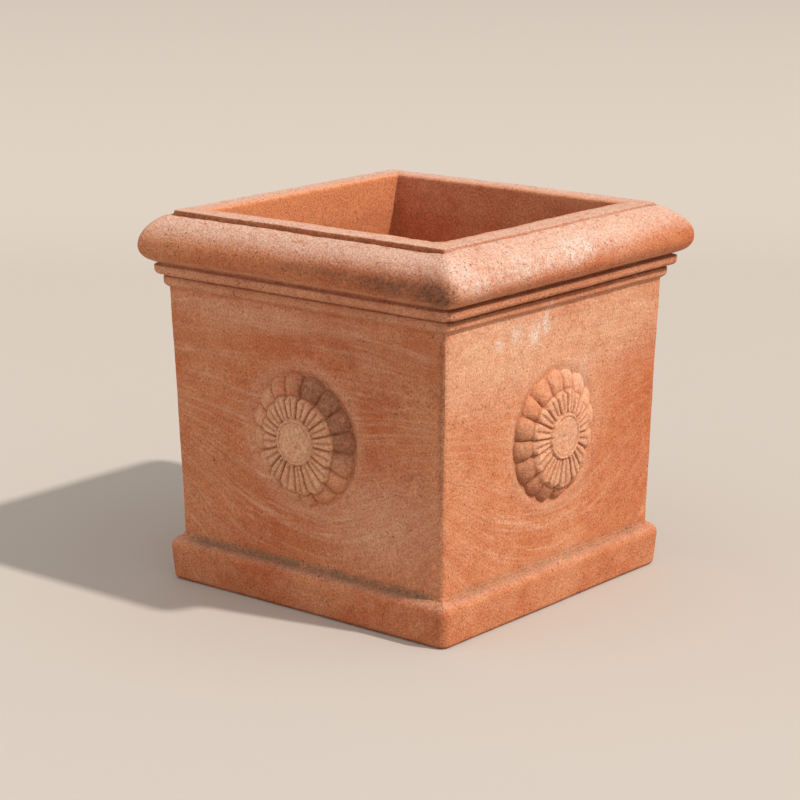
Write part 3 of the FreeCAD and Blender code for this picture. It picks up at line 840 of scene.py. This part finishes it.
    # Pores: ragged pits a millimetre or two across, in flocks, where the clay's skin is open
    skin = add(tree, "ShaderNodeTexNoise", "Fac", [
        ("Vector", place), ("Scale", 1 / (2.8 * MM)), ("Detail", 1.5), ("Distortion", 0.4)])
    flocks = add(tree, "ShaderNodeTexNoise", "Fac", [
        ("Vector", place), ("Scale", 1 / (24 * MM)), ("Detail", 2.0)])
    opened = skin
    for opener, share in ((porous, 0.07), (flocks, 0.14)):
        opened = add(tree, "ShaderNodeMath", 0, [
            (0, opener), (1, share), (2, opened)], operation="MULTIPLY_ADD")
    pore = add(tree, "ShaderNodeMapRange", 0, [("Value", opened), ("From Min", 0.78), ("From Max", 0.87)])
    dark = add(tree, "ShaderNodeMath", 0, [(0, pore), (1, 0.5)], operation="MULTIPLY")
    colour = add(tree, "ShaderNodeMix", MIXED, [
        ("Factor", dark), (MIX_A, colour), (MIX_B, colours.pore)], data_type="RGBA")
    tree.links.new(colour, shader.inputs["Base Color"])

    # Relief in metres: strokes, grit that stands out more where the skin is open, and pores
    combed = add(tree, "ShaderNodeMath", 0, [(0, streaks[0]), (1, stroked)], operation="MULTIPLY")
    relief = add(tree, "ShaderNodeMath", 0, [(0, combed), (1, 0.45 * MM)], operation="MULTIPLY")
    coarse = add(tree, "ShaderNodeMath", 0, [
        (0, porous), (1, 1.15 * MM), (2, 0.45 * MM)], operation="MULTIPLY_ADD")
    for raised, depth in ((grit, coarse), (pore, -0.8 * MM)):
        relief = add(tree, "ShaderNodeMath", 0, [
            (0, raised), (1, depth), (2, relief)], operation="MULTIPLY_ADD")
    bump = add(tree, "ShaderNodeBump", 0, [("Height", relief), ("Distance", 1.0), ("Strength", 1.0)])
    tree.links.new(bump, shader.inputs["Normal"])
    return material


class PLANTER_OT_floor(bpy.types.Operator):
    """Build the floor slab"""
    bl_idname = "planter.floor"
    bl_label = "Floor"

    def execute(self, context):
        build_floor()
        return {"FINISHED"}


class PLANTER_OT_walls(bpy.types.Operator):
    """Build the four wall slabs"""
    bl_idname = "planter.walls"
    bl_label = "Walls"

    def execute(self, context):
        size = sizes()
        section = soften(wall_section(), size.wear, size.pitch)
        upright = section[:, 0] - WALL_LEAN * (section[:, 1] - FLOOR_TOP)
        faces = [WALL_FOOT_HALF - size.wall_thickness, WALL_FOOT_HALF]
        corners = [np.interp(upright, faces, [inner * MM, more * size.wall_corner])
                   for inner, more in zip(CAVITY_CORNERS, ROUNDED)]
        build_sides("wall", section, corners, wiped)
        return {"FINISHED"}


class PLANTER_OT_plinth(bpy.types.Operator):
    """Build the four plinth strips"""
    bl_idname = "planter.plinth"
    bl_label = "Plinth"

    def execute(self, context):
        size = sizes()
        section = soften(plinth_section(), size.wear, size.pitch)
        corner = np.interp(section[:, 0], [wall_half(PLINTH_TOP), PLINTH_HALF],
                           [size.wall_corner, size.plinth_corner])
        build_sides("plinth", section, [corner] * len(SIDES))
        return {"FINISHED"}


class PLANTER_OT_cornice(bpy.types.Operator):
    """Build the four cornice strips"""
    bl_idname = "planter.cornice"
    bl_label = "Cornice"

    def execute(self, context):
        size = sizes()
        section = soften(cornice_section(), 0.6 * size.wear, size.pitch)
        corner = np.interp(section[:, 0], [wall_half(CORNICE_BASE), CORNICE_HALF],
                           [size.wall_corner, size.cornice_corner])
        build_sides("cornice", section, [more * corner for more in ROUNDED])
        return {"FINISHED"}


class PLANTER_OT_rim(bpy.types.Operator):
    """Build the four rim strips"""
    bl_idname = "planter.rim"
    bl_label = "Rim"

    def execute(self, context):
        size = sizes()
        section = soften(rim_section(), size.wear, size.pitch)
        mouth = size.mouth_width / 2
        faces = [mouth, mouth + size.lip_width, ROLL_HALF]
        corners = [np.interp(section[:, 0], faces, [inner * MM, size.lip_corner, more * size.roll_corner])
                   for inner, more in zip(CAVITY_CORNERS, ROUNDED)]
        build_sides("rim", section, corners, filled)
        return {"FINISHED"}


class PLANTER_OT_rosettes(bpy.types.Operator):
    """Build the four rosettes"""
    bl_idname = "planter.rosettes"
    bl_label = "Rosettes"

    def execute(self, context):
        for seed, side in enumerate(SIDES):
            build_rosette(side, seed)
        return {"FINISHED"}


class PLANTER_OT_stage(bpy.types.Operator):
    """Set the pale floor, the light and the camera"""
    bl_idname = "planter.stage"
    bl_label = "Stage"

    def execute(self, context):
        scene = context.scene
        scene.view_settings.view_transform = "Standard"
        make_floor()
        make_lights(scene)
        make_camera(scene)
        return {"FINISHED"}


# The stage floor in metres: its near end, the backdrop's place and height, the sweep and half the width
STAGE_NEAR, STAGE_FAR, STAGE_TALL = -3.0, 2.6, 3.5
STAGE_SWEEP = 0.8
STAGE_WIDE = 4.0

# The camera of the photograph: turn and height about the planter, aim, distance and lens
CAMERA_TURN = 39.389
CAMERA_RISE = 13.92
CAMERA_AIM = (-18.5 * MM, 193.2 * MM)
CAMERA_FAR = 2847.5 * MM
CAMERA_LENS = 112.69

# The key light: its turn from +X towards +Y, its height and how broad it looks in degrees, and its strength
KEY_TURN = 11
KEY_RISE = 48
KEY_BREADTH = 2.5
KEY_STRENGTH = 2.65
SKY_STRENGTH = 0.8


def make_floor():
    """A plain pale floor that turns up into a backdrop."""
    mesh = bpy.data.meshes.new("stage_floor")
    turns = np.linspace(0, math.pi / 2, 13)[1:]
    foot = STAGE_FAR - STAGE_SWEEP
    sweep = [(foot + STAGE_SWEEP * math.sin(t), STAGE_SWEEP - STAGE_SWEEP * math.cos(t)) for t in turns]
    profile = [(STAGE_NEAR, 0.0), (foot, 0.0)] + sweep + [(STAGE_FAR, STAGE_TALL)]
    vertices = [(x, y, z) for y, z in profile for x in (-STAGE_WIDE, STAGE_WIDE)]
    faces = [(2 * k, 2 * k + 1, 2 * k + 3, 2 * k + 2) for k in range(len(profile) - 1)]
    mesh.from_pydata(vertices, [], faces)
    mesh.shade_smooth()
    floor = bpy.data.objects.new("stage_floor", mesh)
    floor.rotation_euler.z = math.radians(CAMERA_TURN)
    bpy.context.scene.collection.objects.link(floor)

    # Pale plaster, rubbed smooth and matt: the eye sees an even warm grey, a little paler than what lights
    # the clay from below
    material = bpy.data.materials.new("pale plaster")
    material.use_nodes = True
    tree = material.node_tree
    shader = tree.nodes["Principled BSDF"]
    shader.inputs["Roughness"].default_value = 0.9
    seen = add(tree, "ShaderNodeLightPath", "Is Camera Ray")
    for ray in ("Is Glossy Ray", "Is Transmission Ray"):
        seen = add(tree, "ShaderNodeMath", 0, [
            (0, seen), (1, add(tree, "ShaderNodeLightPath", ray))], operation="MAXIMUM")
    tone = add(tree, "ShaderNodeMix", MIXED, [
        ("Factor", seen), (MIX_A, linear("#AAA197")), (MIX_B, linear("#C3BDB6"))], data_type="RGBA")
    tree.links.new(tone, shader.inputs["Base Color"])
    mesh.materials.append(material)


def make_camera(scene):
    """The camera at the photograph's viewing angle."""
    turn, rise = math.radians(CAMERA_TURN), math.radians(CAMERA_RISE)
    back = Vector((math.sin(turn) * math.cos(rise), -math.cos(turn) * math.cos(rise), math.sin(rise)))
    right = Vector((math.cos(turn), math.sin(turn), 0))
    up = back.cross(right)
    data = bpy.data.cameras.new("camera")
    data.lens = CAMERA_LENS
    data.clip_end = 50
    camera = bpy.data.objects.new("camera", data)
    camera.matrix_world = Matrix((right, up, back)).transposed().to_4x4()
    camera.location = right * CAMERA_AIM[0] + up * CAMERA_AIM[1] + back * CAMERA_FAR
    scene.collection.objects.link(camera)
    scene.camera = camera


def make_lights(scene):
    """A sun from the right and a little behind, softened by haze, and an even pale sky."""
    world = bpy.data.worlds.new("soft sky")
    world.use_nodes = True
    sky = world.node_tree.nodes["Background"]
    sky.inputs["Color"].default_value = linear("#F6F2EE")
    sky.inputs["Strength"].default_value = SKY_STRENGTH
    scene.world = world
    data = bpy.data.lights.new("key", "SUN")
    data.energy = KEY_STRENGTH
    data.angle = math.radians(KEY_BREADTH)
    data.color = linear("#FFF6EC")[:3]
    key = bpy.data.objects.new("key", data)
    turn, rise = math.radians(KEY_TURN), math.radians(KEY_RISE)
    toward = Vector((math.cos(turn) * math.cos(rise), math.sin(turn) * math.cos(rise), math.sin(rise)))
    key.rotation_mode = "QUATERNION"
    key.rotation_quaternion = toward.to_track_quat("Z", "Y")
    scene.collection.objects.link(key)


class PLANTER_PT_sidebar(bpy.types.Panel):
    """The planter's pieces, sizes and colours"""
    bl_idname = "PLANTER_PT_sidebar"
    bl_label = "Square planter"
    bl_space_type = "VIEW_3D"
    bl_region_type = "UI"
    bl_category = "Planter"

    def draw(self, context):
        for operator in OPERATORS:
            self.layout.operator(operator.bl_idname)
        for group in (context.scene.planter_sizes, context.scene.planter_colours):
            column = self.layout.column()
            for name in group.__annotations__:
                column.prop(group, name)


OPERATORS = (PLANTER_OT_floor, PLANTER_OT_walls, PLANTER_OT_plinth, PLANTER_OT_cornice,
             PLANTER_OT_rim, PLANTER_OT_rosettes, PLANTER_OT_stage)
CLASSES = (PlanterSizes, PlanterColours) + OPERATORS + (PLANTER_PT_sidebar,)


def register():
    """Add the classes, and their properties to the scene."""
    for cls in CLASSES:
        bpy.utils.register_class(cls)
    bpy.types.Scene.planter_sizes = bpy.props.PointerProperty(type=PlanterSizes)
    bpy.types.Scene.planter_colours = bpy.props.PointerProperty(type=PlanterColours)


def unregister():
    """Take away what register added."""
    del bpy.types.Scene.planter_colours
    del bpy.types.Scene.planter_sizes
    for cls in reversed(CLASSES):
        bpy.utils.unregister_class(cls)


def main():
    """Build the planter and its stage."""
    register()
    bpy.ops.planter.floor()
    bpy.ops.planter.walls()
    bpy.ops.planter.plinth()
    bpy.ops.planter.cornice()
    bpy.ops.planter.rim()
    bpy.ops.planter.rosettes()
    bpy.ops.planter.stage()


if __name__ == "__main__":
    main()
